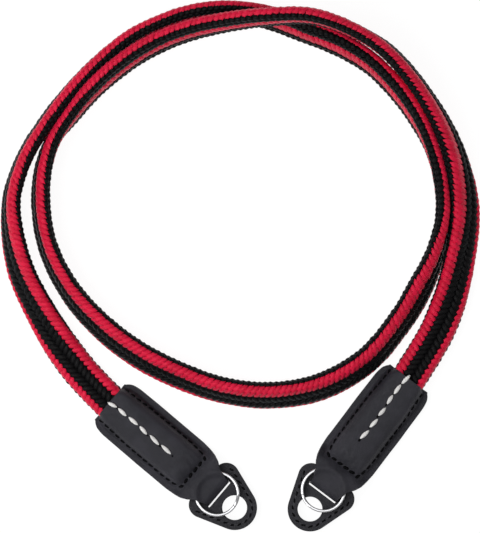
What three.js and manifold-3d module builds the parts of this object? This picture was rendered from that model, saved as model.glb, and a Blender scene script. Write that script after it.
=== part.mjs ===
// Coiled neck strap: a flat braided cord lying in one and three quarter turns, with a leather tab,
// a split ring and a leather guard at each end. Millimetres, +Z up, lying on the plane z = 0.
import * as THREE from 'three';
import { LoftGeometry } from 'three/addons/geometries/LoftGeometry.js';
import { mergeVertices } from 'three/addons/utils/BufferGeometryUtils.js';
import Module from 'manifold-3d';

const wasm = await Module();
wasm.setup();

// Clearance between pieces that touch on the real strap
const gap = 0.3;

// Braided cord: width and thickness of its flat section, the steps and end sides of its tube, and how
// far it stays above the plane
const cordWidth = 12.8;
const cordThickness = 5.16;
const cordSteps = 80;
const cordEndSides = 5;
const cordRise = 0.06;
const coilCentre = { x: -8.55, y: 88.36 };

// Leather: one layer, the wide tab and the narrow neck that folds down through the guard's slot
const leather = 1.3;
const tabLength = 52.6;
const tabWidth = 22;
const neckWidth = 11.9;
const pocketWall = 2.9;

// Split ring
const ringDiameter = 16.7;
const ringWire = 1.14;
const ringHeight = 2.2;
const ringSides = 8;
const ringSteps = 40;

// Leather guard: rounded plate with a round hole and a straight slot
const guardThickness = 2.45;
const guardNose = 8.25;
const guardHole = 4.55;
const guardHoleReach = 7.7;
const guardCorner = 4.8;
const guardCornerSpread = 7.0;
const guardCornerReach = 2.25;
const guardBaseTurn = THREE.MathUtils.degToRad(12);
const slotOpening = 0.8;

// Each end: the place of its slot, the direction from the slot to the cord, the ring's offset from the slot
const ENDS = [
  { side: 'left', x: -15.61, y: -16.99, heading: 139.8, ringAlong: 0.55, ringAcross: 0.3 },
  { side: 'right', x: 22.65, y: -16.34, heading: 52.9, ringAlong: 0.95, ringAcross: 0.4 },
];

// The cord's route between the tabs. turn: degrees clockwise from +Y about the coil's centre,
// radius: to the middle of the cord, lift: above the height at which it rests on the plane,
// roll: degrees by which its inner edge is turned up (0 is flat, 90 stands on edge).
const ROUTE = [
  { turn: 226, radius: 83.2, lift: 0.6, roll: 2 },
  { turn: 240, radius: 82.0, lift: 0.0, roll: 33 },
  { turn: 255, radius: 83.1, lift: 0.0, roll: 52 },
  { turn: 270, radius: 83.5, lift: 0.0, roll: 74 },
  { turn: 282, radius: 81.2, lift: 0.0, roll: 82 },
  { turn: 294, radius: 77.5, lift: 0.0, roll: 83 },
  { turn: 306, radius: 75.3, lift: 0.0, roll: 88 },
  { turn: 318, radius: 74.2, lift: 0.0, roll: 94 },
  { turn: 330, radius: 73.7, lift: 0.0, roll: 102 },
  { turn: 345, radius: 73.3, lift: 0.0, roll: 106 },
  { turn: 357, radius: 72.5, lift: 0.0, roll: 111 },
  { turn: 369, radius: 71.0, lift: 0.0, roll: 117 },
  { turn: 381, radius: 69.8, lift: 0.0, roll: 118 },
  { turn: 393, radius: 70.8, lift: 0.0, roll: 117 },
  { turn: 405, radius: 72.4, lift: 0.0, roll: 111 },
  { turn: 420, radius: 73.4, lift: 0.0, roll: 106 },
  { turn: 435, radius: 74.8, lift: 0.0, roll: 91 },
  { turn: 450, radius: 75.7, lift: 0.0, roll: 83 },
  { turn: 462, radius: 74.5, lift: 0.0, roll: 74 },
  { turn: 474, radius: 73.2, lift: 0.0, roll: 56 },
  { turn: 486, radius: 72.8, lift: 0.0, roll: 56 },
  { turn: 500, radius: 73.4, lift: 0.0, roll: 54 },
  { turn: 515, radius: 72.5, lift: 0.0, roll: 51 },
  { turn: 530, radius: 70.0, lift: 0.0, roll: 53 },
  { turn: 545, radius: 67.2, lift: 0.0, roll: 55 },
  { turn: 560, radius: 65.2, lift: 0.0, roll: 52 },
  { turn: 575, radius: 65.2, lift: 0.0, roll: 53 },
  { turn: 590, radius: 66.6, lift: 0.0, roll: 57 },
  { turn: 605, radius: 69.1, lift: 0.0, roll: 65 },
  { turn: 620, radius: 71.5, lift: 0.0, roll: 73 },
  { turn: 635, radius: 72.7, lift: 0.0, roll: 76 },
  { turn: 648, radius: 72.4, lift: 0.0, roll: 84 },
  { turn: 660, radius: 69.6, lift: 0.9, roll: 100 },
  { turn: 672, radius: 68.3, lift: 1.9, roll: 108 },
  { turn: 687, radius: 67.7, lift: 3.2, roll: 112 },
  { turn: 702, radius: 67.6, lift: 4.6, roll: 111 },
  { turn: 717, radius: 68.5, lift: 8.6, roll: 107 },
  { turn: 729, radius: 71.0, lift: 12.1, roll: 103 },
  { turn: 741, radius: 75.4, lift: 12.3, roll: 97 },
  { turn: 753, radius: 78.2, lift: 8.6, roll: 91 },
  { turn: 765, radius: 79.8, lift: 5.4, roll: 82 },
  { turn: 780, radius: 80.6, lift: 2.6, roll: 77 },
  { turn: 795, radius: 82.3, lift: 1.2, roll: 63 },
  { turn: 810, radius: 83.8, lift: 0.3, roll: 43 },
  { turn: 825, radius: 84.1, lift: 0.0, roll: 32 },
  { turn: 840, radius: 86.0, lift: 0.5, roll: 6 },
];

// Where the cord's middle passes inside a tab, as shares of the way from its end to the mouth
const POCKET_SHARES = [0, 0.36, 0.7, 1];

// Tab sections. at: share of the zone's length, half: share of the half width (in the neck's zone from
// the neck's to the tab's), rim and crown: height of the edges and of the middle, as shares between the
// stitched edge of two layers and the zone's full height.
const NECK_ROWS = [
  { at: 0.0, half: 0.0, rim: 0.5, crown: 0.5 },
  { at: 0.05, half: 0.0, rim: 0.68, crown: 0.68 },
  { at: 0.12, half: 0.01, rim: 0.84, crown: 0.84 },
  { at: 0.21, half: 0.05, rim: 0.95, crown: 0.95 },
  { at: 0.33, half: 0.17, rim: 1.0, crown: 1.0 },
  { at: 0.46, half: 0.34, rim: 1.0, crown: 1.0 },
  { at: 0.59, half: 0.6, rim: 1.0, crown: 1.0 },
  { at: 0.76, half: 0.79, rim: 1.0, crown: 1.0 },
  { at: 0.86, half: 0.86, rim: 0.87, crown: 0.9 },
  { at: 0.93, half: 0.9, rim: 0.6, crown: 0.76 },
  { at: 1.0, half: 0.93, rim: 0.24, crown: 0.72 },
];
const BODY_ROWS = [
  { at: 0.05, half: 0.975, rim: 0.03, crown: 0.87 },
  { at: 0.11, half: 1.0, rim: 0.0, crown: 0.98 },
  { at: 0.3, half: 1.0, rim: 0.0, crown: 1.0 },
  { at: 0.6, half: 1.0, rim: 0.0, crown: 1.0 },
  { at: 0.83, half: 0.99, rim: 0.0, crown: 1.0 },
  { at: 0.93, half: 0.945, rim: 0.0, crown: 1.0 },
  { at: 0.972, half: 0.86, rim: 0.0, crown: 1.0 },
  { at: 1.0, half: 0.77, rim: 0.0, crown: 1.0 },
];

// Bulge of the tab over the cord. across: share of the half width, height: share from rim to crown
const BULGE = [
  { across: 1.0, height: 0.0 },
  { across: 0.83, height: 0.0 },
  { across: 0.74, height: 0.33 },
  { across: 0.63, height: 0.74 },
  { across: 0.45, height: 0.93 },
  { across: 0.22, height: 0.99 },
  { across: 0.0, height: 1.0 },
];

// Heights of the stack at an end, from the lower layer of leather upwards
const guardFloor = leather + gap;
const ringFloor = guardFloor + guardThickness + gap;
const neckRoof = ringFloor + ringHeight + gap;
const neckTop = neckRoof + leather;
const stitchedEdge = 2 * leather;
const pocketMiddle = leather + gap + cordThickness / 2;
const tabCrown = pocketMiddle + cordThickness / 2 + gap + leather;

// Places along a tab, from the slot towards the cord
const ringReach = Math.max(...ENDS.map((end) => end.ringAlong)) + ringDiameter / 2;
const loopRoofEnd = ringReach + gap + 0.8;
const loopTip = loopRoofEnd + 2.6;
const pocketStart = loopTip + pocketWall;

const cordMaterial = new THREE.MeshStandardMaterial({ color: 0xc81e3c, roughness: 0.6, metalness: 0 });
const tabMaterial = new THREE.MeshStandardMaterial({ color: 0x303036, roughness: 0.55, metalness: 0 });
const guardMaterial = new THREE.MeshStandardMaterial({ color: 0x2b2b30, roughness: 0.6, metalness: 0 });
const ringMaterial = new THREE.MeshStandardMaterial({ color: 0xd8dade, roughness: 0.15, metalness: 1 });

function toSolid(geometry) {
  const bare = new THREE.BufferGeometry().copy(geometry);
  bare.deleteAttribute('normal');
  bare.deleteAttribute('uv');
  const merged = mergeVertices(bare, 1e-4);
  return new wasm.Manifold(new wasm.Mesh({
    numProp: 3,
    vertProperties: new Float32Array(merged.attributes.position.array),
    triVerts: new Uint32Array(merged.index.array),
  }));
}

function fromSolid(solid) {
  const mesh = solid.getMesh();
  const geometry = new THREE.BufferGeometry();
  geometry.setAttribute('position', new THREE.BufferAttribute(new Float32Array(mesh.vertProperties), 3));
  geometry.setIndex(new THREE.BufferAttribute(new Uint32Array(mesh.triVerts), 1));
  geometry.computeVertexNormals();
  return geometry;
}

// Flat section with round ends, as a closed list of points
function flatSection(width, thickness) {
  const round = thickness / 2;
  const straight = (width - thickness) / 2;
  const points = [];
  for (const side of [1, -1]) {
    for (let i = 0; i <= cordEndSides; i += 1) {
      const angle = Math.PI * (i / cordEndSides - 0.5);
      const across = side * (straight + round * Math.cos(angle));
      points.push(new THREE.Vector2(across, side * round * Math.sin(angle)));
    }
  }
  return points;
}

// Height of the cord's middle when it rests on the plane at a roll
function restHeight(roll) {
  const straight = (cordWidth - cordThickness) / 2;
  return straight * Math.abs(Math.sin(THREE.MathUtils.degToRad(roll))) + cordThickness / 2 + cordRise;
}

// Point on the middle line of an end's pocket
function pocketPoint(end, share) {
  const heading = THREE.MathUtils.degToRad(end.heading);
  const along = THREE.MathUtils.lerp(pocketStart + gap, tabLength, share);
  return new THREE.Vector3(
    end.x + along * Math.cos(heading),
    end.y + along * Math.sin(heading),
    pocketMiddle,
  );
}

// Middle line of the whole cord with its roll, from the left tab round to the right one
function cordPath() {
  const [left, right] = ENDS;
  const stations = POCKET_SHARES.map((share) => ({ point: pocketPoint(left, share), roll: 0 }));
  for (const row of ROUTE) {
    const turn = THREE.MathUtils.degToRad(row.turn);
    const x = coilCentre.x + row.radius * Math.sin(turn);
    const y = coilCentre.y + row.radius * Math.cos(turn);
    stations.push({ point: new THREE.Vector3(x, y, restHeight(row.roll) + row.lift), roll: row.roll });
  }
  for (const share of [...POCKET_SHARES].reverse()) {
    stations.push({ point: pocketPoint(right, share), roll: 0 });
  }
  const line = new THREE.CatmullRomCurve3(stations.map((s) => s.point), false, 'catmullrom', 0.5);
  const rolls = stations.map((s) => new THREE.Vector3(s.roll, 0, 0));
  return { line, rolls: new THREE.CatmullRomCurve3(rolls, false, 'catmullrom', 0.5) };
}

function braidedCord() {
  const { line, rolls } = cordPath();
  line.arcLengthDivisions = 2000;
  const section = new THREE.Shape(flatSection(cordWidth, cordThickness));
  const geometry = new THREE.ExtrudeGeometry(section, { depth: 1, steps: cordSteps, bevelEnabled: false });
  const position = geometry.attributes.position;
  const up = new THREE.Vector3(0, 0, 1);
  const inward = new THREE.Vector3();
  const over = new THREE.Vector3();
  for (let i = 0; i < position.count; i += 1) {
    const t = line.getUtoTmapping(1 - position.getZ(i));
    const tangent = line.getTangent(t);
    const roll = THREE.MathUtils.degToRad(rolls.getPoint(t).x);
    inward.crossVectors(tangent, up).normalize();
    over.crossVectors(inward, tangent);
    const across = position.getX(i) * Math.cos(roll) - position.getY(i) * Math.sin(roll);
    const above = position.getX(i) * Math.sin(roll) + position.getY(i) * Math.cos(roll);
    const place = line.getPoint(t).addScaledVector(inward, across).addScaledVector(over, above);
    position.setXYZ(i, place.x, place.y, place.z);
  }
  geometry.computeVertexNormals();
  return geometry;
}

// One section of a tab across its length, counterclockwise as seen from the cord
function tabSection(along, half, rim, crown) {
  const points = [new THREE.Vector3(along, -half, 0), new THREE.Vector3(along, half, 0)];
  const over = BULGE.map((row) => ({ y: row.across * half, z: rim + (crown - rim) * row.height }));
  for (const { y, z } of over) {
    points.push(new THREE.Vector3(along, y, z));
  }
  for (const { y, z } of over.slice(0, -1).reverse()) {
    points.push(new THREE.Vector3(along, -y, z));
  }
  return points;
}

function tabEnvelope() {
  const sections = [];
  for (const row of NECK_ROWS) {
    const half = THREE.MathUtils.lerp(neckWidth, tabWidth, row.half) / 2;
    const rim = THREE.MathUtils.lerp(stitchedEdge, neckTop, row.rim);
    sections.push(tabSection(row.at * loopTip, half, rim, THREE.MathUtils.lerp(stitchedEdge, neckTop, row.crown)));
  }
  for (const row of BODY_ROWS) {
    const along = THREE.MathUtils.lerp(loopTip, tabLength, row.at);
    const rim = THREE.MathUtils.lerp(stitchedEdge, tabCrown, row.rim);
    const crown = THREE.MathUtils.lerp(stitchedEdge, tabCrown, row.crown);
    sections.push(tabSection(along, row.half * tabWidth / 2, rim, crown));
  }
  return new LoftGeometry(sections, { capStart: true, capEnd: true });
}

// Space under the neck that holds the back of the guard and of the ring, cut through from side to side
function loopSpace() {
  const side = new THREE.Shape([
    new THREE.Vector2(leather, leather),
    new THREE.Vector2(loopTip - 0.6, leather),
    new THREE.Vector2(loopTip, leather + 0.7),
    new THREE.Vector2(loopRoofEnd, neckRoof),
    new THREE.Vector2(leather + 1.5, neckRoof),
    new THREE.Vector2(leather, neckRoof - leather),
  ]);
  const geometry = new THREE.ExtrudeGeometry(side, { depth: 2 * tabWidth, bevelEnabled: false });
  geometry.translate(0, 0, -tabWidth);
  geometry.rotateX(Math.PI / 2);
  return geometry;
}

// Space in a tab for the cord's end, open at the mouth
function pocketSpace() {
  const shape = new THREE.Shape(flatSection(cordWidth + 2 * gap, cordThickness + 2 * gap));
  const depth = tabLength - pocketStart + leather;
  const geometry = new THREE.ExtrudeGeometry(shape, { depth, bevelEnabled: false });
  geometry.rotateX(Math.PI / 2);
  geometry.rotateZ(Math.PI / 2);
  geometry.translate(pocketStart, 0, pocketMiddle);
  return geometry;
}

function leatherTab() {
  const body = toSolid(tabEnvelope());
  const withoutLoop = body.subtract(toSolid(loopSpace()));
  return fromSolid(withoutLoop.subtract(toSolid(pocketSpace())));
}

// Two flat coils of wire pressed together, as one ring with rounded edges
function splitRing() {
  const middle = (ringDiameter - ringWire) / 2;
  const profile = [];
  for (let i = 0; i <= ringSides; i += 1) {
    const angle = 2 * Math.PI * ((i % ringSides) + 0.5) / ringSides;
    const across = (ringWire / 2) * Math.cos(angle) / Math.cos(Math.PI / ringSides);
    const above = (ringHeight / 2) * Math.sin(angle) / Math.cos(Math.PI / ringSides);
    profile.push(new THREE.Vector2(middle + across, above));
  }
  const geometry = new THREE.LatheGeometry(profile, ringSteps);
  geometry.rotateX(Math.PI / 2);
  geometry.translate(0, 0, ringFloor + ringHeight / 2);
  return geometry;
}

// Outline of the guard: a round nose, straight flanks, round corners and a slightly bowed base
function guardOutline() {
  const run = Math.hypot(guardHoleReach + guardCornerReach, guardCornerSpread);
  const slope = Math.atan2(guardCornerSpread, guardHoleReach + guardCornerReach);
  const flank = slope + Math.acos((guardNose - guardCorner) / run);
  const endX = guardCornerReach + guardCorner * Math.cos(guardBaseTurn);
  const endY = guardCornerSpread + guardCorner * Math.sin(guardBaseTurn);
  const shape = new THREE.Shape();
  shape.absarc(-guardHoleReach, 0, guardNose, flank, 2 * Math.PI - flank, false);
  shape.absarc(guardCornerReach, -guardCornerSpread, guardCorner, -flank, -guardBaseTurn, false);
  shape.quadraticCurveTo(endX + endY * Math.tan(guardBaseTurn), 0, endX, endY);
  shape.absarc(guardCornerReach, guardCornerSpread, guardCorner, guardBaseTurn, flank, false);
  return shape;
}

function leatherGuard() {
  const shape = guardOutline();
  const hole = new THREE.Path();
  hole.absarc(-guardHoleReach, 0, guardHole, 0, 2 * Math.PI, true);
  const near = leather + gap;
  const far = -slotOpening;
  const halfSlot = neckWidth / 2 + gap;
  const slot = new THREE.Path([
    new THREE.Vector2(far, -halfSlot),
    new THREE.Vector2(far, halfSlot),
    new THREE.Vector2(near, halfSlot),
    new THREE.Vector2(near, -halfSlot),
  ]);
  shape.holes.push(hole, slot);
  const options = { depth: guardThickness, bevelEnabled: false, curveSegments: 16 };
  const geometry = new THREE.ExtrudeGeometry(shape, options);
  geometry.translate(0, 0, guardFloor);
  return geometry;
}

function named(geometry, material, name) {
  const mesh = new THREE.Mesh(geometry, material);
  mesh.name = name;
  return mesh;
}

const strap = new THREE.Group();
strap.add(named(braidedCord(), cordMaterial, 'braided_cord'));
for (const end of ENDS) {
  const group = new THREE.Group();
  group.position.set(end.x, end.y, 0);
  group.rotation.z = THREE.MathUtils.degToRad(end.heading);
  group.add(named(leatherTab(), tabMaterial, `${end.side}_leather_tab`));
  group.add(named(leatherGuard(), guardMaterial, `${end.side}_leather_guard`));
  const ring = named(splitRing(), ringMaterial, `${end.side}_split_ring`);
  ring.position.set(end.ringAlong, end.ringAcross, 0);
  group.add(ring);
  strap.add(group);
}

export default strap;
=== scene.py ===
import math

import bmesh
import bpy
import numpy as np
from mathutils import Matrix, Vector


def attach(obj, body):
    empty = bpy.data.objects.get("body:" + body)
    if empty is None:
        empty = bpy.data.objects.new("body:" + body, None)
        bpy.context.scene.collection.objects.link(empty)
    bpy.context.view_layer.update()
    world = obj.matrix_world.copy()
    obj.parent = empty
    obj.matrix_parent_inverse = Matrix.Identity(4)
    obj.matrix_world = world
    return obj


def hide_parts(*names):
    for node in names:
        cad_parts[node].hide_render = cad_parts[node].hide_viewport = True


# A strap of flat braided cord in a loose coil, with a leather tab, a split ring and a leather guard at
# each end. All lengths here are in millimetres, and become metres where a mesh is made.

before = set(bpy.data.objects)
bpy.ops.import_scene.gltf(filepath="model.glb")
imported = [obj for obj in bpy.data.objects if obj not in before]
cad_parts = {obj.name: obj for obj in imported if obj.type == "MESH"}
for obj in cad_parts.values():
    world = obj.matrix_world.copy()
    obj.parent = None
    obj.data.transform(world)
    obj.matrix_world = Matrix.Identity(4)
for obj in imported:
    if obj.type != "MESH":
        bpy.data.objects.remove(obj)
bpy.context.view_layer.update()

MM = 0.001
rng = np.random.default_rng(7)

# Sizes repeated from the part's source, in millimetres

CORD_WIDTH = 12.8
CORD_THICKNESS = 5.16
CORD_GIRTH = 2 * (CORD_WIDTH - CORD_THICKNESS) + math.pi * CORD_THICKNESS
CORD_RISE = 0.06
COIL_CENTRE = (-8.55, 88.36)
LEATHER = 1.3
GAP = 0.3
TAB_LENGTH = 52.6
NECK_WIDTH = 11.9
RING_DIAMETER = 16.7
RING_WIRE = 1.14
RING_HEIGHT = 2.2
GUARD_THICKNESS = 2.45
GUARD_NOSE = 8.25
GUARD_HOLE = 4.55
GUARD_HOLE_REACH = 7.7
GUARD_CORNER = 4.8
GUARD_CORNER_SPREAD = 7.0
GUARD_CORNER_REACH = 2.25
GUARD_BASE_TURN = math.radians(12)
SLOT_OPENING = 0.8

GUARD_FLOOR = LEATHER + GAP
RING_FLOOR = GUARD_FLOOR + GUARD_THICKNESS + GAP
NECK_TOP = RING_FLOOR + RING_HEIGHT + GAP + LEATHER
POCKET_MIDDLE = LEATHER + GAP + CORD_THICKNESS / 2

# Each end: its slot's place, the direction from there to the cord, the ring's offset and the turn at
# which its wire steps, and the white stitches (place along the tab, place across it, length, turn)
ENDS = {
    "left": {
        "place": (-15.61, -16.99), "heading": 139.8, "ring": (0.55, 0.3), "step": 205.0,
        "lacing": [
            (51.1, 0.1, 3.7, 13), (46.6, -0.2, 4.1, -4), (41.4, -0.3, 4.5, -1),
            (36.4, -0.1, 4.0, -10), (30.9, 0.0, 4.8, -7), (25.4, -0.1, 4.8, -4),
        ],
        "lacing_end": (22.0, 0.2),
    },
    "right": {
        "place": (22.65, -16.34), "heading": 52.9, "ring": (0.95, 0.4), "step": 160.0,
        "lacing": [
            (51.6, 0.7, 4.3, -7), (46.9, 1.0, 4.3, 1), (42.2, 0.9, 3.9, 5),
            (36.9, 0.5, 3.9, -5), (31.7, 0.4, 4.2, -7), (26.3, 0.6, 4.4, -10),
        ],
        "lacing_end": (23.4, 0.8),
    },
}

# The cord's route between the tabs: turn, radius, lift, roll, as in the part's source
ROUTE = [
    (226, 83.2, 0.6, 2), (240, 82.0, 0.0, 33), (255, 83.1, 0.0, 52), (270, 83.5, 0.0, 74),
    (282, 81.2, 0.0, 82), (294, 77.5, 0.0, 83), (306, 75.3, 0.0, 88), (318, 74.2, 0.0, 94),
    (330, 73.7, 0.0, 102), (345, 73.3, 0.0, 106), (357, 72.5, 0.0, 111), (369, 71.0, 0.0, 117),
    (381, 69.8, 0.0, 118), (393, 70.8, 0.0, 117), (405, 72.4, 0.0, 111), (420, 73.4, 0.0, 106),
    (435, 74.8, 0.0, 91), (450, 75.7, 0.0, 83), (462, 74.5, 0.0, 74), (474, 73.2, 0.0, 56),
    (486, 72.8, 0.0, 56), (500, 73.4, 0.0, 54), (515, 72.5, 0.0, 51), (530, 70.0, 0.0, 53),
    (545, 67.2, 0.0, 55), (560, 65.2, 0.0, 52), (575, 65.2, 0.0, 53), (590, 66.6, 0.0, 57),
    (605, 69.1, 0.0, 65), (620, 71.5, 0.0, 73), (635, 72.7, 0.0, 76), (648, 72.4, 0.0, 84),
    (660, 69.6, 0.9, 100), (672, 68.3, 1.9, 108), (687, 67.7, 3.2, 112), (702, 67.6, 4.6, 111),
    (717, 68.5, 8.6, 107), (729, 71.0, 12.1, 103), (741, 75.4, 12.3, 97), (753, 78.2, 8.6, 91),
    (765, 79.8, 5.4, 82), (780, 80.6, 2.6, 77), (795, 82.3, 1.2, 63), (810, 83.8, 0.3, 43),
    (825, 84.1, 0.0, 32), (840, 86.0, 0.5, 6),
]

# How far the cord moves outwards (or inwards) so that its soft strands touch: turn, shift
TOUCH = [
    (270, 0), (285, -0.3), (315, -0.3), (330, 0), (381, 0), (393, 0.2), (405, 0.08), (420, 0.2),
    (460, 0.15), (475, 0), (630, 0), (645, 0.3), (675, 0.3), (690, 0), (741, 0), (753, -0.36),
    (765, -0.17), (780, -0.4), (820, -0.35), (832, 0),
]

# The cord inside a tab: places along the tab, and the coil's turns at the two tabs' mouths
POCKET = (30.0, 37.0, 45.0, TAB_LENGTH)
FIRST_TURN = 214.0
LAST_TURN = 854.0

# Where the lanes of the braid part, round the section from the middle of its upper face towards the
# inner edge, in millimetres, at some turns of the coil. The columns are the edges between the outer
# edge lanes, the red, the two black, the red, the two black of the inner edge, and so on round.
LANE_EDGES = [
    (214, -8.0, -3.9, 2.8, 7.5, 10.6, 14.2, 18.0, 21.3),
    (232, -7.2, -4.1, 2.9, 7.9, 10.7, 14.3, 18.2, 21.5),
    (256, -7.0, -4.6, 2.3, 8.0, 11.0, 14.9, 18.8, 22.0),
    (268, -7.4, -4.9, 2.0, 8.5, 11.4, 15.3, 19.6, 22.8),
    (280, -7.4, -5.0, 2.2, 8.2, 11.6, 15.6, 20.0, 23.2),
    (294, -7.3, -4.9, 2.3, 7.4, 11.2, 15.7, 20.2, 23.5),
    (309, -6.4, -4.2, 3.2, 8.4, 11.8, 16.1, 20.5, 24.0),
    (328, -5.4, -3.0, 3.8, 8.2, 12.1, 16.2, 20.5, 24.2),
    (342, -4.3, -1.6, 3.8, 7.9, 11.6, 16.2, 20.5, 24.2),
    (356, -4.3, -1.6, 3.8, 8.1, 11.9, 16.4, 20.6, 24.3),
    (366, -4.3, -1.6, 3.7, 8.3, 11.7, 17.0, 20.9, 24.4),
    (380, -4.2, -1.5, 3.6, 7.9, 13.5, 17.7, 21.4, 24.7),
    (396, -4.2, -1.5, 3.6, 8.1, 12.7, 17.9, 21.2, 24.5),
    (420, -4.3, -1.6, 3.6, 8.5, 13.6, 18.0, 20.9, 24.3),
    (432, -4.4, -2.0, 2.8, 7.8, 11.4, 15.8, 20.2, 23.8),
    (442, -4.6, -2.4, 2.4, 6.8, 12.3, 16.0, 20.0, 23.5),
    (452, -5.2, -3.0, 2.0, 7.2, 12.5, 16.0, 19.8, 23.2),
    (462, -6.4, -4.6, 0.8, 8.0, 12.3, 15.8, 19.5, 23.0),
    (474, -7.2, -5.2, 1.6, 7.7, 11.6, 14.9, 19.2, 22.6),
    (485, -7.4, -5.4, 1.8, 7.6, 10.9, 14.9, 19.2, 22.5),
    (505, -7.2, -5.3, 1.7, 7.2, 10.7, 14.8, 19.1, 22.4),
    (520, -7.5, -5.2, 2.1, 7.3, 10.8, 14.9, 19.1, 22.4),
    (540, -7.5, -5.3, 1.9, 7.7, 10.9, 15.0, 19.2, 22.4),
    (556, -7.4, -4.1, 2.1, 7.6, 11.0, 15.1, 19.3, 22.5),
    (572, -7.4, -4.7, 2.2, 7.7, 11.0, 15.2, 19.4, 22.6),
    (590, -7.5, -5.2, 2.4, 7.9, 11.2, 15.4, 19.7, 22.9),
    (604, -7.6, -5.5, 2.5, 7.9, 11.3, 15.6, 20.0, 23.1),
    (620, -7.6, -5.6, 2.2, 7.9, 11.4, 15.7, 20.1, 23.3),
    (640, -7.4, -5.4, 1.6, 7.8, 11.3, 15.8, 20.2, 23.7),
    (652, -7.0, -5.0, 2.4, 7.6, 11.0, 15.8, 20.3, 23.9),
    (662, -6.0, -4.0, 3.9, 8.0, 11.8, 16.8, 21.0, 24.4),
    (670, -4.2, -1.5, 4.1, 9.2, 14.1, 18.4, 21.3, 24.6),
    (682, -4.2, -1.5, 4.2, 9.3, 14.5, 17.5, 21.3, 24.6),
    (696, -4.2, -1.5, 4.1, 9.0, 13.6, 16.8, 21.1, 24.5),
    (712, -4.2, -1.5, 4.0, 8.7, 13.3, 17.2, 21.0, 24.4),
    (722, -4.2, -1.5, 4.0, 8.8, 13.8, 17.6, 21.2, 24.5),
    (732, -4.3, -1.6, 3.9, 8.4, 12.8, 17.0, 20.9, 24.3),
    (744, -4.3, -1.6, 3.6, 8.6, 12.2, 16.4, 20.6, 24.2),
    (754, -6.2, -3.6, 2.6, 8.0, 11.6, 16.0, 20.4, 23.9),
    (768, -7.2, -4.8, 1.7, 7.6, 11.2, 15.7, 20.0, 23.5),
    (784, -7.6, -5.4, -0.4, 7.8, 11.2, 15.3, 19.6, 23.0),
    (798, -7.7, -5.6, 0.3, 7.0, 10.8, 15.0, 19.2, 22.5),
    (812, -7.1, -4.3, 1.6, 7.3, 10.8, 14.8, 18.9, 22.1),
    (822, -7.2, -4.1, 3.0, 7.8, 10.9, 14.6, 18.6, 21.9),
    (836, -7.2, -3.9, 2.9, 7.7, 10.8, 14.4, 18.4, 21.7),
    (854, -7.3, -3.8, 2.9, 7.5, 10.7, 14.3, 18.2, 21.5),
]


def smooth_rows(rows, per_row):
    """Rows of numbers joined by a smooth curve, the same one as the part's source uses."""
    rows = np.array(rows, float)
    ends = np.vstack([2 * rows[0] - rows[1], rows, 2 * rows[-1] - rows[-2]])
    out = []
    w = np.arange(per_row)[:, None] / per_row
    for p0, p1, p2, p3 in zip(ends, ends[1:], ends[2:], ends[3:]):
        v0, v1 = (p2 - p0) / 2, (p3 - p1) / 2
        out.append(((2 * p1 - 2 * p2 + v0 + v1) * w + (3 * p2 - 3 * p1 - 2 * v0 - v1)) * w**2 + v0 * w + p1)
    return np.vstack(out + [rows[-1:]])


def end_place(end, along, across, height):
    """Points given along, across and above an end, as points of the whole strap."""
    angle = math.radians(end["heading"])
    x = end["place"][0] + along * math.cos(angle) - across * math.sin(angle)
    y = end["place"][1] + along * math.sin(angle) + across * math.cos(angle)
    return np.stack(np.broadcast_arrays(x, y, height), -1)


def cord_rows():
    """The cord's middle line, its roll and its turn, from one tab's pocket to the other's."""

    def pocket_row(side, along, turn):
        return [*end_place(ENDS[side], along, 0.0, POCKET_MIDDLE), 0.0, turn]

    rows = [pocket_row("left", along, FIRST_TURN - (TAB_LENGTH - along) / 2) for along in POCKET]
    straight = (CORD_WIDTH - CORD_THICKNESS) / 2
    touch_turns, touch_shifts = zip(*TOUCH)
    for turn, radius, lift, roll in ROUTE:
        angle = math.radians(turn)
        radius += np.interp(turn, touch_turns, touch_shifts)
        rest = straight * abs(math.sin(math.radians(roll))) + CORD_THICKNESS / 2 + CORD_RISE
        x = COIL_CENTRE[0] + radius * math.sin(angle)
        y = COIL_CENTRE[1] + radius * math.cos(angle)
        rows.append([x, y, rest + lift, roll, turn])
    return rows + [
        pocket_row("right", along, LAST_TURN + (TAB_LENGTH - along) / 2) for along in reversed(POCKET)
    ]


class Cord:
    """The cord's middle line in even steps, with the directions across and over it."""

    def __init__(self, step=0.5):
        fine = smooth_rows(cord_rows(), 40)
        length = np.concatenate([[0], np.cumsum(np.linalg.norm(np.diff(fine[:, :3], axis=0), axis=1))])
        self.length = length[-1]
        self.s = np.linspace(0, self.length, int(self.length / step) + 1)
        self.rows = np.stack([np.interp(self.s, length, fine[:, k]) for k in range(5)], 1)
        tangent = np.gradient(self.rows[:, :3], self.s, axis=0)
        tangent /= np.linalg.norm(tangent, axis=1)[:, None]
        inward = np.cross(tangent, [0.0, 0.0, 1.0])
        inward /= np.linalg.norm(inward, axis=1)[:, None]
        over = np.cross(inward, tangent)
        roll = np.radians(self.rows[:, 3])[:, None]
        self.wide = inward * np.cos(roll) + over * np.sin(roll)
        self.thick = over * np.cos(roll) - inward * np.sin(roll)

    def at(self, s, table):
        """A table's values at lengths along the cord."""
        return np.stack([np.interp(s, self.s, table[:, k]) for k in range(table.shape[1])], -1)

    def turn(self, s):
        return np.interp(s, self.s, self.rows[:, 4])

    def place(self, s, across, above):
        """Points given along, across and above the cord."""
        middle = self.at(s, self.rows[:, :3])
        return middle + self.at(s, self.wide) * across[..., None] + self.at(s, self.thick) * above[..., None]


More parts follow.
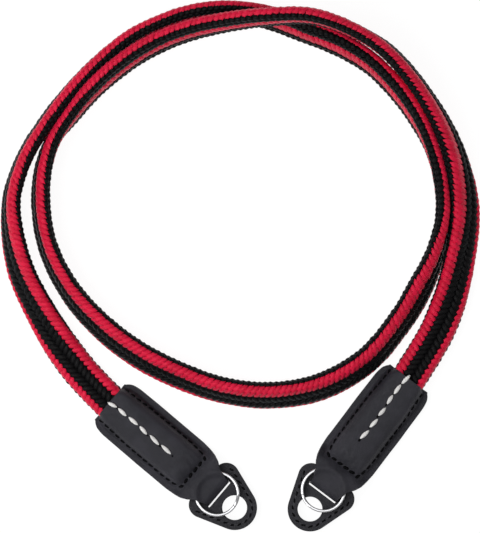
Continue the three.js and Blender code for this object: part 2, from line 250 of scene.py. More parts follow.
def section_point(q, depth):
    """Point of the cord's flat section at a way round it, that far under its surface."""
    straight = (CORD_WIDTH - CORD_THICKNESS) / 2
    round_ = CORD_THICKNESS / 2
    half = 2 * straight + math.pi * round_
    q = (q + straight) % (2 * half)
    far = q >= half
    q = np.where(far, q - half, q)
    on_cap = q > 2 * straight
    angle = np.where(on_cap, (q - 2 * straight) / round_, 0.0)
    across = np.where(on_cap, straight + (round_ - depth) * np.sin(angle), q - straight)
    above = (round_ - depth) * np.cos(angle)
    side = np.where(far, -1.0, 1.0)
    return across * side, above * side


# Meshes

def new_object(name, mesh):
    piece = bpy.data.objects.new(name, mesh)
    bpy.context.scene.collection.objects.link(piece)
    return piece


def mesh_of(bm, name):
    mesh = bpy.data.meshes.new(name)
    bm.to_mesh(mesh)
    bm.free()
    return mesh


def shade_smooth(mesh):
    mesh.polygons.foreach_set("use_smooth", np.ones(len(mesh.polygons), bool))


def template(bm):
    """A bmesh as arrays: its vertices, and its faces' corners and counts."""
    bm.verts.ensure_lookup_table()
    points = np.array([v.co for v in bm.verts])
    corners = np.array([v.index for f in bm.faces for v in f.verts])
    counts = np.array([len(f.verts) for f in bm.faces])
    bm.free()
    return points, corners, counts


def joined(name, places, shape, uv, tone):
    """One mesh of many copies of a small shape: places is copies x vertices x 3, in millimetres."""
    copies, per = places.shape[:2]
    corners, counts = shape[1:]
    mesh = bpy.data.meshes.new(name)
    mesh.vertices.add(copies * per)
    mesh.vertices.foreach_set("co", (places * MM).astype(np.float32).ravel())
    loops = (corners[None] + np.arange(copies)[:, None] * per).ravel()
    all_counts = np.tile(counts, copies)
    mesh.loops.add(len(loops))
    mesh.loops.foreach_set("vertex_index", loops.astype(np.int32))
    mesh.polygons.add(len(all_counts))
    starts = np.concatenate([[0], np.cumsum(all_counts)[:-1]])
    mesh.polygons.foreach_set("loop_start", starts.astype(np.int32))
    mesh.update(calc_edges=True)
    mesh.validate()
    shade_smooth(mesh)
    layer = mesh.uv_layers.new(name="along_thread")
    layer.data.foreach_set("uv", uv.reshape(-1, 2)[loops].astype(np.float32).ravel())
    tones = mesh.attributes.new("tone", "FLOAT", "POINT")
    tones.data.foreach_set("value", np.repeat(tone, per).astype(np.float32))
    return new_object(name, mesh)


def leaf_shape(sides=6, rings=6):
    """A small spindle from pole to pole, with its length along the first axis."""
    bm = bmesh.new()
    bmesh.ops.create_uvsphere(bm, u_segments=sides, v_segments=rings, radius=1.0)
    points, corners, counts = template(bm)
    return points[:, [2, 0, 1]], corners, counts


# The braid: each lane is a row of slanting silk stitches whose tips lie between the next lane's

PITCH = 2.17
LANES = [
    # Name, the columns of its two edges (a half is midway between two), colour, way of its slant
    ("A", 0, 1, "red", 1), ("B", 1, 1.5, "black", -1), ("C", 1.5, 2, "black", 1), ("D", 2, 3, "red", -1),
    ("E", 3, 3.5, "black", 1), ("F", 3.5, 4, "black", -1), ("G", 4, 5, "red", 1),
    ("H", 5, 5.5, "black", -1), ("I", 5.5, 6, "black", 1), ("J", 6, 7, "red", -1),
    ("K", 7, 7.5, "black", 1), ("L", 7.5, 8, "black", -1),
]
# The stitches: slant in degrees, how far their tips pass the lane's edge, thickness, width as a share
# of the pitch, how deep the tips dive, and the powers that shape their points
SLANT = {"red": 61.0, "black": 49.0}
TIP = {"red": 0.75, "black": 0.2}
THICK = {"red": 0.44, "black": 0.45}
FULLNESS = {"red": 1.46, "black": 1.38}
DIVE = {"red": 0.3, "black": 0.5}
POINT = {"red": (2.2, 0.8), "black": (3.0, 0.58)}
DIVE_POWER = 2.4
BOW = 0.10
PROUD = 0.26
# How uneven the stitches are: slant in degrees, place along the cord and height
UNEVEN_SLANT = 1.3
UNEVEN_PLACE = 0.05
UNEVEN_HEIGHT = 0.04
# The lowest that a strand reaches, where a spindle's poles begin, and the sizes of the near-black tube of
# painted crevice shade
LOWEST = 0.02
POLE = 0.999
CORE_DEPTH = 0.75
CORE_SIDES = 24
CORE_STEPS = 445


def lane_edges(cord, s):
    """All the lanes' edges round the section at places along the cord."""
    table = np.array(LANE_EDGES, float)
    table = np.hstack([table, table[:, 1:2] + CORD_GIRTH])
    turn = cord.turn(s)
    return np.stack([np.interp(turn, table[:, 0], table[:, k]) for k in range(1, table.shape[1])], -1)


def edge_at(edges, column):
    """One edge, or a line between two of them."""
    low = int(math.floor(column))
    high = min(low + 1, edges.shape[1] - 1)
    share = column - low
    return edges[:, low] * (1 - share) + edges[:, high] * share


def spindle(shape, point):
    """A small spindle's places along, across and above, with its ends pointed by two powers."""
    a, b, c = shape[0].T
    full = (1 - np.abs(a) ** point[0]) ** point[1]
    ring = np.sqrt(np.clip(1 - a**2, 1e-6, 1))
    at_pole = np.abs(a) > POLE
    return a, np.where(at_pole, 0, b / ring * full), np.where(at_pole, 0, c / ring * full)


def lane_stitches(cord, lane, shape, first, last):
    """Vertices, thread coordinates and tones of one lane's stitches."""
    name, low, high, colour, slant = lane
    order = "ABCDEFGHIJKL".index(name)
    s = np.arange(first, last, PITCH) + (PITCH / 2 if order % 2 else 0.0)
    edges = lane_edges(cord, s)
    q0, q1 = edge_at(edges, low), edge_at(edges, high)
    width = q1 - q0 + 2 * TIP[colour]
    angle = np.radians(SLANT[colour] + rng.normal(0, UNEVEN_SLANT, len(s)))
    half_length = width / np.sin(angle) / 2
    half_width = PITCH * np.sin(angle) / 2 * FULLNESS[colour]
    a, side, up = spindle(shape, POINT[colour])
    along = a[None] * half_length[:, None]
    across = side[None] * half_width[:, None]
    bow = BOW * slant * (a[None] ** 2 - 0.4) * half_width[:, None]
    co, si = np.cos(angle)[:, None], np.sin(angle)[:, None]
    shift = rng.normal(0, UNEVEN_PLACE, len(s))
    ds = along * co * slant + (across + bow) * si
    dq = along * si - (across + bow) * co * slant
    dive = DIVE[colour] * np.abs(a[None]) ** DIVE_POWER
    lift = rng.normal(0, UNEVEN_HEIGHT, len(s))[:, None]
    depth = dive + THICK[colour] * (1 - up[None]) - lift - PROUD
    x, y = section_point((q0 + q1)[:, None] / 2 + dq, depth)
    places = cord.place((s + shift)[:, None] + ds, x, y)
    places[..., 2] = np.maximum(places[..., 2], LOWEST)
    # Each stitch reads its own part of the fibre pattern
    uv = np.stack([along, across + 10 * rng.random(len(s))[:, None]], -1)
    return places, uv, rng.random(len(s))


def braid(cord, first, last):
    """The red strands and two sets of black ones."""
    shape = leaf_shape()
    sets = {"red_strands": "ADGJ", "black_strands_over": "BCEF", "black_strands_under": "HIKL"}
    pieces = []
    for name, letters in sets.items():
        parts = [lane_stitches(cord, lane, shape, first, last) for lane in LANES if lane[0] in letters]
        places, uv, tone = (np.concatenate(p) for p in zip(*parts))
        pieces.append(joined(name, places, shape, uv, tone))
    return pieces


def swept(name, rings):
    """A closed tube through rows of points, each row going once round it."""
    count, round_ = rings.shape[:2]
    bm = bmesh.new()
    bmesh.ops.create_grid(bm, x_segments=count - 1, y_segments=round_, size=0.5)
    i, k = grid_places(bm, count - 1, round_)
    for vert, point in zip(bm.verts, rings[i, k % round_] * MM):
        vert.co = point
    bmesh.ops.remove_doubles(bm, verts=bm.verts, dist=1e-7)
    bmesh.ops.holes_fill(bm, edges=[edge for edge in bm.edges if edge.is_boundary])
    bmesh.ops.recalc_face_normals(bm, faces=bm.faces)
    mesh = mesh_of(bm, name)
    shade_smooth(mesh)
    return new_object(name, mesh)


def grid_places(bm, x_steps, y_steps):
    """Which row and which column of a new grid of size 0.5 each vertex is in."""
    bm.verts.ensure_lookup_table()
    grid = np.array([v.co for v in bm.verts])
    rows, columns = (grid[:, :2] + 0.5).T
    return np.rint(rows * x_steps).astype(int), np.rint(columns * y_steps).astype(int)


def cord_crevice_shade_tube(cord):
    """A near-black flat tube along the whole cord under the strands: painted shade for the crevices between
    the stitches.
    """
    q = np.linspace(0, CORD_GIRTH, CORE_SIDES, endpoint=False)
    x, y = section_point(q, np.full_like(q, CORE_DEPTH))
    s = np.repeat(np.linspace(0, cord.length, CORE_STEPS)[:, None], CORE_SIDES, 1)
    return swept("cord_crevice_shade_tube", cord.place(s, np.tile(x, (CORE_STEPS, 1)), np.tile(y, (CORE_STEPS, 1))))


# Leather tabs: one strip that runs under the cord, up through the guard's slot and back over the ring

# Half the tab's width, the height of its rim and of its crown at places along it, and how the upper
# side falls from the crown to the rim over the shares of the half width
HALF_ROWS = [
    (0, 5.95), (1.3, 6.0), (2.7, 6.2), (4.3, 6.85), (6.0, 7.65), (7.7, 9.0), (9.9, 9.9), (12.1, 10.4),
    (14.3, 10.8), (17, 11.0), (30, 11.0), (46, 10.9), (49.7, 10.4), (51.4, 9.5), (52.6, 8.5),
]
RIM_ROWS = [(0, 8.15), (9.0, 8.15), (10.4, 7.6), (12.0, 5.6), (13.6, 3.6), (15.2, 2.75), (17, 2.6), (60, 2.6)]
CROWN_ROWS = [
    (0, 8.15), (9.3, 8.15), (10.6, 7.65), (11.8, 6.9), (12.6, 6.7), (13.6, 7.0), (15.2, 7.75), (17.5, 8.25),
    (20, 8.36), (60, 8.36),
]
BULGE_ROWS = [
    (0, 1.0), (0.22, 0.99), (0.45, 0.93), (0.63, 0.74), (0.72, 0.42), (0.79, 0.08), (0.85, 0.0), (1.3, 0.0),
]
LOWER_FOLD_RADIUS = 1.5
FOLD_RADIUS = 3.3
TAB_COLUMNS = 57
# Handling: height and size of the slow waves, and of the small creases past the end seam
WAVE_HEIGHT, WAVE_SIZE = 0.09, 12.0
CREASE_HEIGHT, CREASE_SIZE, CREASE_PLACE, CREASE_REACH = 0.07, 4.5, 15.5, 3.5
# How deep and how wide the leather sinks inside and outside the ring, along the seam, at a white stitch
RING_RADIUS = 8.0
SUNK_INSIDE, SUNK_OUTSIDE = (1.0, 1.5), (0.6, 1.4)
SEAM_GROOVE = (0.42, 0.75)
LACING_DENT = 0.16


def smooth_table(rows):
    """A function that follows a two-column table without overshooting it."""
    x, y = np.array(rows, float).T
    h, d = np.diff(x), np.diff(y) / np.diff(x)
    m = np.zeros_like(y)
    same = d[:-1] * d[1:] > 0
    w0, w1 = 2 * h[1:] + h[:-1], h[1:] + 2 * h[:-1]
    with np.errstate(divide="ignore", invalid="ignore"):
        mean = (w0 + w1) / (w0 / d[:-1] + w1 / d[1:])
    m[1:-1] = np.where(same, mean, 0.0)

    def value(at):
        at = np.clip(at, x[0], x[-1])
        i = np.clip(np.searchsorted(x, at) - 1, 0, len(h) - 1)
        t = (at - x[i]) / h[i]
        return (
            (1 + 2 * t) * (1 - t) ** 2 * y[i] + t * (1 - t) ** 2 * h[i] * m[i]
            + t**2 * (3 - 2 * t) * y[i + 1] + t**2 * (t - 1) * h[i] * m[i + 1]
        )

    return value


tab_half = smooth_table(HALF_ROWS)
tab_rim = smooth_table(RIM_ROWS)
tab_crown = smooth_table(CROWN_ROWS)
tab_bulge = smooth_table(BULGE_ROWS)


def tab_top(along, across):
    """Height of a tab's upper surface."""
    share = np.abs(across) / tab_half(along)
    rim = tab_rim(along)
    return rim + (tab_crown(along) - rim) * tab_bulge(share)


def soft_waves(x, y, seed, size, count=9):
    """Slow uneven waves, for surfaces that handling has left not quite even."""
    maker = np.random.default_rng(seed)
    total = np.zeros(np.broadcast(x, y).shape)
    for _ in range(count):
        angle, phase = maker.uniform(0, 2 * math.pi, 2)
        wave = size * maker.uniform(0.7, 1.6)
        total += np.sin((x * math.cos(angle) + y * math.sin(angle)) * 2 * math.pi / wave + phase)
    return total / math.sqrt(count)


def strip_profile():
    """The strip's outer side from the lower end, round the fold, to the upper end: along, height, and
    how far each point is on the upper side."""
    fold_low, fold_high = LOWER_FOLD_RADIUS, FOLD_RADIUS
    lower = [(x, 0.0, 0.0) for x in np.linspace(TAB_LENGTH - 0.6, fold_low, 64)[:-1]]
    turn = np.linspace(0, math.pi / 2, 8)
    first = [(fold_low - fold_low * math.sin(t), fold_low - fold_low * math.cos(t), 0.0) for t in turn]
    front = [(0.0, z, 0.0) for z in np.linspace(fold_low, NECK_TOP - fold_high, 8)[1:-1]]
    top = NECK_TOP - fold_high
    second = [(fold_high - fold_high * math.cos(t), top + fold_high * math.sin(t), 1.0) for t in turn[:-1]]
    upper = [(x, NECK_TOP, 1.0) for x in np.linspace(fold_high, TAB_LENGTH, 118)]
    return np.array(lower + first + front + second + upper)


def hollow(distance, depth, width):
    """A depth that grows smoothly to its full value away from a line."""
    return depth * (1 - np.exp(-(distance / width) ** 2))


def leather_tab(side):
    """One tab's strip of leather: its outer side as a sheet, thickened inwards, with soft edges."""
    end = ENDS[side]
    seeds = {"left": (11, 21), "right": (12, 22)}[side]
    profile = strip_profile()
    bm = bmesh.new()
    bmesh.ops.create_grid(bm, x_segments=len(profile) - 1, y_segments=TAB_COLUMNS - 1, size=0.5)
    i, k = grid_places(bm, len(profile) - 1, TAB_COLUMNS - 1)
    v = 2 * k / (TAB_COLUMNS - 1) - 1
    along, height, upper = profile[i].T
    across = tab_half(along) * np.sign(v) * np.abs(v)
    on_top = (upper > 0.5) & (along >= FOLD_RADIUS - 0.01)
    waves = soft_waves(along, across, seeds[0], WAVE_SIZE)
    creases = soft_waves(along, 1.7 * across, seeds[1], CREASE_SIZE)
    creases = creases * np.exp(-(((along - CREASE_PLACE) / CREASE_REACH) ** 2))
    calm = np.clip((along - 3) / 4, 0, 1) * np.clip((1 - np.abs(v)) * 6, 0, 1)
    worn = tab_top(along, across) + (WAVE_HEIGHT * waves + CREASE_HEIGHT * creases) * calm
    height = np.where(on_top, worn, height)
    # The leather lies over the ring and sinks on both sides of it
    away = np.hypot(along - end["ring"][0], across - end["ring"][1]) - RING_RADIUS
    sunk = np.where(away < 0, hollow(away, *SUNK_INSIDE), hollow(away, *SUNK_OUTSIDE))
    on_neck = np.clip((13.5 - along) / 4, 0, 1)
    sunk = sunk * on_neck * np.clip((height - NECK_TOP + FOLD_RADIUS) / 2.2, 0, 1)
    height = height - np.where(upper > 0.5, sunk, 0)
    # The seam and the white stitches pull it in
    seam = np.minimum(seam_distance(along, across), 3.0)
    depth, width = SEAM_GROOVE
    height = height - np.where(on_top, depth * np.exp(-(seam / width) ** 2), 0.0)
    for x, y, length, _ in end["lacing"] + [(*end["lacing_end"], 1.2, 0)]:
        near = ((along - x) / (length * 0.55)) ** 2 + ((across - y) / 1.1) ** 2
        height = height - np.where(on_top, LACING_DENT * np.exp(-near), 0.0)
    for vert, point in zip(bm.verts, end_place(end, along, across, height) * MM):
        vert.co = point
    bmesh.ops.recalc_face_normals(bm, faces=bm.faces)
    topmost = max(bm.faces, key=lambda f: f.calc_center_median().z)
    if topmost.normal.z < 0:
        bmesh.ops.reverse_faces(bm, faces=bm.faces)
    mesh = mesh_of(bm, f"{side}_tab_leather")
    shade_smooth(mesh)
    piece = new_object(f"{side}_tab_leather", mesh)
    solid = piece.modifiers.new("thickness", "SOLIDIFY")
    solid.thickness = (LEATHER - 0.04) * MM
    solid.offset = -1
    # The rim takes the second material, whose lighter colour paints a highlight along the edge
    solid.material_offset_rim = 1
    round_ = piece.modifiers.new("soft_edge", "BEVEL")
    round_.width = 0.22 * MM
    round_.segments = 2
    round_.limit_method = "ANGLE"
    round_.angle_limit = math.radians(50)
    return piece


# Seams: a row down each side of the pocket and one across its end

SEAM_SIDE = smooth_table([(12.4, 6.7), (15.5, 7.5), (22, 7.9), (38, 7.85), (46, 7.4), (52.6, 7.2)])
SEAM_END = 12.4
SEAM_HALF = 6.7
SEAM_PITCH = 2.75


def seam_distance(along, across):
    """Distance to the tab's seam."""
    out = np.abs(across)
    beside = np.abs(out - SEAM_SIDE(along))
    side = np.where(along > SEAM_END, beside, np.hypot(along - SEAM_END, out - SEAM_HALF))
    end = np.where(out < SEAM_HALF, np.abs(along - SEAM_END), 9.0)
    return np.minimum(side, end)


def spaced(points, pitch):
    """Middles and directions of even steps along a line of points."""
    points = np.asarray(points, float)
    length = np.concatenate([[0], np.cumsum(np.linalg.norm(np.diff(points, axis=0), axis=1))])
    count = max(1, int(round(length[-1] / pitch)))
    s = (np.arange(count) + 0.5) * length[-1] / count

    def at(place):
        return np.stack([np.interp(place, length, points[:, k]) for k in range(points.shape[1])], 1)

    way = at(s + 0.3) - at(s - 0.3)
    return at(s), way / np.linalg.norm(way, axis=1)[:, None]


def thread_pieces(name, middles, ways, lengths, half_width, half_height, slant, shape, point=(3.0, 0.5)):
    """Stitches lying on a surface: spindles at the middles, along the ways, turned by the slant."""
    ways = ways / np.linalg.norm(ways, axis=1)[:, None]
    up = np.array([0.0, 0.0, 1.0])
    sides = np.cross(up, ways)
    sides /= np.linalg.norm(sides, axis=1)[:, None]
    over = np.cross(ways, sides)
    turn = np.radians(slant)[:, None]
    forward = ways * np.cos(turn) + sides * np.sin(turn)
    beside = sides * np.cos(turn) - ways * np.sin(turn)
    a, b, c = spindle(shape, point)
    sag = -0.35 * half_height * a**2
    lengths = np.asarray(lengths)[:, None]
    places = (
        middles[:, None] + forward[:, None] * (a[None] * lengths / 2)[..., None]
        + beside[:, None] * (b[None, :, None] * half_width)
        + over[:, None] * ((c * half_height + sag)[None, :, None])
    )
    count = len(middles)
    over_thread = np.broadcast_to(b * half_width, (count, len(b))) + np.arange(count)[:, None]
    return joined(name, places, shape, np.stack([a[None] * lengths / 2, over_thread], -1), rng.random(count))


def seam_line():
    """The tab's seam, down one side, across its end and up the other side."""
    side = np.linspace(TAB_LENGTH - 0.9, SEAM_END, 60)
    near = np.stack([side, -SEAM_SIDE(side)], 1)
    across = np.linspace(-SEAM_HALF, SEAM_HALF, 20)[1:-1]
    end = np.stack([np.full_like(across, SEAM_END), across], 1)
    return np.vstack([near, end, near[::-1] * [1, -1]])


def surface_middles(end, flat, ways, height, rise):
    """Points on a surface and the ways along it, from places along and across an end."""
    step = 0.4
    middle = end_place(end, flat[:, 0], flat[:, 1], height(flat[:, 0], flat[:, 1]) + rise)
    ahead = flat + ways * step
    behind = flat - ways * step
    way = end_place(end, ahead[:, 0], ahead[:, 1], height(ahead[:, 0], ahead[:, 1]))
    way -= end_place(end, behind[:, 0], behind[:, 1], height(behind[:, 0], behind[:, 1]))
    return middle, way


def tab_seams(side):
    """The machine stitches round a tab's pocket, and near-black spindles of painted shade in the holes that
    they lie in.
    """
    end = ENDS[side]
    flat, ways = spaced(seam_line(), SEAM_PITCH)
    shape = leaf_shape(6, 6)
    pits, way = surface_middles(end, flat, ways, tab_top, -0.36)
    slants = rng.normal(13, 4, len(flat))
    lengths = rng.normal(1.75, 0.12, len(flat))
    holes = thread_pieces(
        f"{side}_tab_seam_hole_shade", pits, way, lengths + 0.5, 0.62, 0.24, slants, shape)
    middles, way = surface_middles(end, flat, ways, tab_top, -0.3)
    threads = thread_pieces(f"{side}_tab_seam", middles, way, lengths, 0.3, 0.28, slants, shape)
    return holes, threads


def tab_lacing(side):
    """The white stitches along the tab, and near-black spindles of painted shade in the holes they pass
    through.
    """
    end = ENDS[side]
    rows = np.array(end["lacing"])
    flat, lengths, turn = rows[:, :2], rows[:, 2:3], np.radians(rows[:, 3])
    ways = np.stack([np.cos(turn), np.sin(turn)], 1)
    middles, way = surface_middles(end, flat, ways, tab_top, 0.1)
    lacing = thread_pieces(
        f"{side}_lacing", middles, way, rows[:, 2] + 0.3, 0.74, 0.55, np.zeros(len(rows)),
        leaf_shape(10, 12), (2.2, 0.85))
    # Painted shade of a hole, a near-black spindle, at the lower tip of every stitch, and one where the row
    # ends
    tips = np.vstack([flat - ways * lengths * 0.5, [end["lacing_end"]]])
    middles, way = surface_middles(end, tips, np.tile([1.0, 0.0], (len(tips), 1)), tab_top, -0.12)
    holes = thread_pieces(
        f"{side}_lacing_hole_shade", middles, way, np.full(len(tips), 2.4), 0.45, 0.14,
        np.full(len(tips), -12.0), leaf_shape(8, 6))
    return lacing, holes


# Guards: two layers of leather with a round hole and a slot, sewn round the rim

GUARD_EDGE = 0.24
LAYER_GAP = 0.03
SLOT_CORNER = 0.3
GUARD_SEAM_INSET = 1.85


def arc(centre, radius, start, stop, steps):
    """Points along part of a circle."""
    angle = np.linspace(start, stop, steps)
    return np.stack([centre[0] + radius * np.cos(angle), centre[1] + radius * np.sin(angle)], 1)


def guard_outline(inset):
    """The guard's rim, or a line that far inside it."""
    run = math.hypot(GUARD_HOLE_REACH + GUARD_CORNER_REACH, GUARD_CORNER_SPREAD)
    slope = math.atan2(GUARD_CORNER_SPREAD, GUARD_HOLE_REACH + GUARD_CORNER_REACH)
    flank = slope + math.acos((GUARD_NOSE - GUARD_CORNER) / run)
    nose = arc((-GUARD_HOLE_REACH, 0), GUARD_NOSE - inset, flank, 2 * math.pi - flank, 41)
    corner = GUARD_CORNER - inset
    low = arc((GUARD_CORNER_REACH, -GUARD_CORNER_SPREAD), corner, -flank, -GUARD_BASE_TURN, 22)
    x, y = low[-1]
    bow = (x - y * math.tan(GUARD_BASE_TURN), 0.0)
    t = np.linspace(0, 1, 18)[1:-1, None]
    base = (1 - t) ** 2 * low[-1] + 2 * t * (1 - t) * np.array(bow) + t**2 * (low[-1] * [1, -1])
    return np.vstack([nose, low, base, low[::-1] * [1, -1]])


def flat_leather(name, outline, holes, low, high, edge):
    """A flat leather plate with rounded edges, from its outline and its holes."""
    curve = bpy.data.curves.new(name, "CURVE")
    curve.dimensions = "2D"
    curve.fill_mode = "BOTH"
    for points in [outline] + holes:
        spline = curve.splines.new("POLY")
        spline.points.add(len(points) - 1)
        level, weight = np.zeros((len(points), 1)), np.ones((len(points), 1))
        spline.points.foreach_set("co", np.hstack([points, level, weight]).ravel())
        spline.use_cyclic_u = True
    curve.extrude = (high - low) / 2 - edge
    curve.bevel_depth = edge
    curve.bevel_resolution = 2
    curve.offset = -edge
    holder = bpy.data.objects.new(name + "_curve", curve)
    bpy.context.scene.collection.objects.link(holder)
    bpy.context.view_layer.update()
    mesh = bpy.data.meshes.new_from_object(holder.evaluated_get(bpy.context.evaluated_depsgraph_get()))
    bpy.data.objects.remove(holder)
    bm = bmesh.new()
    bm.from_mesh(mesh)
    bmesh.ops.remove_doubles(bm, verts=bm.verts, dist=0.002)
    bmesh.ops.translate(bm, verts=bm.verts, vec=(0, 0, (high + low) / 2))
    bmesh.ops.recalc_face_normals(bm, faces=bm.faces)
    return bm


def guard(side):
    """One guard's two layers, the lower one a little smaller."""
    end = ENDS[side]
    hole = arc((-GUARD_HOLE_REACH, 0), GUARD_HOLE, 0, 2 * math.pi, 65)[:-1]
    half_slot = NECK_WIDTH / 2 + 0.06
    far, near = -SLOT_OPENING + 0.2, LEATHER + 0.1
    c = SLOT_CORNER
    slot = np.vstack([
        arc((far + c, -half_slot + c), c, math.pi, 1.5 * math.pi, 5),
        arc((near - c, -half_slot + c), c, 1.5 * math.pi, 2 * math.pi, 5),
        arc((near - c, half_slot - c), c, 0, 0.5 * math.pi, 5),
        arc((far + c, half_slot - c), c, 0.5 * math.pi, math.pi, 5),
    ])
    middle = GUARD_FLOOR + GUARD_THICKNESS / 2
    top = GUARD_FLOOR + GUARD_THICKNESS
    whole = bmesh.new()
    for low, high, inset in ((GUARD_FLOOR, middle - LAYER_GAP, 0.12), (middle + LAYER_GAP, top, 0.0)):
        bm = flat_leather(f"{side}_guard_layer", guard_outline(inset), [hole, slot], low, high, GUARD_EDGE)
        mesh = mesh_of(bm, "layer")
        whole.from_mesh(mesh)
        bpy.data.meshes.remove(mesh)
    for vert in whole.verts:
        x, y, z = vert.co
        vert.co = Vector(end_place(end, x, y, z) * MM)
    mesh = mesh_of(whole, f"{side}_guard_leather")
    shade_smooth(mesh)
    piece = new_object(f"{side}_guard_leather", mesh)
    weighted = piece.modifiers.new("even_shading", "WEIGHTED_NORMAL")
    weighted.keep_sharp = True
    return piece


def guard_seam(side):
    """The stitches near a guard's rim, near-black spindles of painted shade in their holes, and a flat
    lighter strip painted in for the crease that they lie in.
    """
    end = ENDS[side]
    top = GUARD_FLOOR + GUARD_THICKNESS
    line = guard_outline(GUARD_SEAM_INSET)
    # The row runs from one corner of the base round the nose to the other
    flat, ways = spaced(np.vstack([line[93:], line[:63]]), SEAM_PITCH)
    keep = flat[:, 0] < 4.5
    flat, ways = flat[keep], ways[keep]

    def level(along, across):
        return np.full(np.shape(along + across), top)

    shape = leaf_shape(6, 6)
    slants = rng.normal(10, 3, len(flat))
    lengths = rng.normal(1.6, 0.12, len(flat))
    middles, way = surface_middles(end, flat, ways, level, 0.0)
    holes = thread_pieces(
        f"{side}_guard_seam_hole_shade", middles, way, lengths + 0.5, 0.4, 0.06, slants, shape)
    middles, way = surface_middles(end, flat, ways, level, -0.06)
    threads = thread_pieces(f"{side}_guard_seam", middles, way, lengths, 0.24, 0.2, slants, shape)
    # A flat strip of the lighter edge leather along the row, painted light in place of the relief of a
    # pressed crease; it is not sunk
    t = np.linspace(0, 2 * math.pi, 8, endpoint=False)[None]
    beside = np.stack([-ways[:, 1], ways[:, 0]], 1)
    x = flat[:, :1] + beside[:, :1] * 0.26 * np.cos(t)
    y = flat[:, 1:] + beside[:, 1:] * 0.26 * np.cos(t)
    painted_crease = swept(f"{side}_guard_seam_painted_crease", end_place(end, x, y, top + 0.03 * np.sin(t)))
    return holes, threads, painted_crease


# Split rings: two turns of flat wire

RING_STEP = math.radians(34)
RING_END_CLEAR = math.radians(2)
RING_STEPS = 260
# How square the wire's section is, across and above
SQUARE_ACROSS, SQUARE_ABOVE = 0.6, 0.64


def split_ring(side):
    """One ring of wire that goes round twice and steps up from one turn to the other."""
    end = ENDS[side]
    step = math.radians(end["step"])
    spread = RING_STEP
    middle = (RING_DIAMETER - RING_WIRE) / 2
    coil = RING_HEIGHT / 2
    clear = spread / 2 + RING_END_CLEAR
    angles = np.linspace(step + clear, step + 4 * math.pi - clear, RING_STEPS)[:, None]
    share = np.clip((angles - step - 2 * math.pi) / spread + 0.5, 0, 1)
    heights = RING_FLOOR + coil / 2 + share * share * (3 - 2 * share) * coil
    t = np.linspace(0, 2 * math.pi, 20, endpoint=False)[None]
    across = np.sign(np.cos(t)) * np.abs(np.cos(t)) ** SQUARE_ACROSS * RING_WIRE / 2
    above = np.sign(np.sin(t)) * np.abs(np.sin(t)) ** SQUARE_ABOVE * (coil / 2 - 0.02)
    x = end["ring"][0] + (middle + across) * np.cos(angles)
    y = end["ring"][1] + (middle + across) * np.sin(angles)
    return swept(f"{side}_ring_wire", end_place(end, x, y, heights + above))


# Materials

def new_group(name, inputs, outputs):
    tree = bpy.data.node_groups.new(name, "ShaderNodeTree")
    for socket, kind, value in inputs:
        made = tree.interface.new_socket(socket, in_out="INPUT", socket_type=kind)
        made.default_value = value
    for socket, kind in outputs:
        tree.interface.new_socket(socket, in_out="OUTPUT", socket_type=kind)
    return tree, tree.nodes.new("NodeGroupInput"), tree.nodes.new("NodeGroupOutput")


def add(tree, kind, **values):
    made = tree.nodes.new(kind)
    for key, value in values.items():
        setattr(made, key, value)
    return made


def math_node(tree, operation, first, second=None):
    made = add(tree, "ShaderNodeMath", operation=operation)
    for socket, value in zip(made.inputs, (first, second)):
        if value is None:
            continue
        if isinstance(value, (int, float)):
            socket.default_value = value
        else:
            tree.links.new(value, socket)
    return made.outputs[0]


def mix_colour(tree, factor, first, second):
    made = add(tree, "ShaderNodeMix", data_type="RGBA", clamp_factor=True)
    for socket, value in zip((made.inputs[0], made.inputs[6], made.inputs[7]), (factor, first, second)):
        if isinstance(value, (int, float, tuple)):
            socket.default_value = value
        else:
            tree.links.new(value, socket)
    return made.outputs[2]


def silk_group():
    """Fine fibres along a thread: a height, and a colour between two tones with each stitch its own."""
    tree, given, out = new_group(
        "silk_fibres",
        [("Light", "NodeSocketColor", (1, 1, 1, 1)), ("Dark", "NodeSocketColor", (0, 0, 0, 1)),
         ("Fibres", "NodeSocketFloat", 1.0)],
        [("Color", "NodeSocketColor"), ("Height", "NodeSocketFloat")],
    )
    link = tree.links.new
    uv = add(tree, "ShaderNodeUVMap", uv_map="along_thread")
    stretch = add(tree, "ShaderNodeMapping")
    stretch.inputs["Scale"].default_value = (0.35, 4.2, 1.0)
    link(uv.outputs[0], stretch.inputs["Vector"])
    fibres = add(tree, "ShaderNodeTexNoise", noise_dimensions="2D")
    fibres.inputs["Scale"].default_value = 1.6
    fibres.inputs["Detail"].default_value = 3.0
    link(stretch.outputs[0], fibres.inputs["Vector"])
    tone = add(tree, "ShaderNodeAttribute", attribute_name="tone")
    both = math_node(tree, "ADD", math_node(tree, "MULTIPLY", tone.outputs["Fac"], 0.55),
                     math_node(tree, "MULTIPLY", fibres.outputs["Fac"], 0.7))
    share = math_node(tree, "SUBTRACT", both, 0.1)
    link(mix_colour(tree, share, given.outputs["Light"], given.outputs["Dark"]), out.inputs["Color"])
    link(math_node(tree, "MULTIPLY", fibres.outputs["Fac"], given.outputs["Fibres"]), out.inputs["Height"])
    return tree


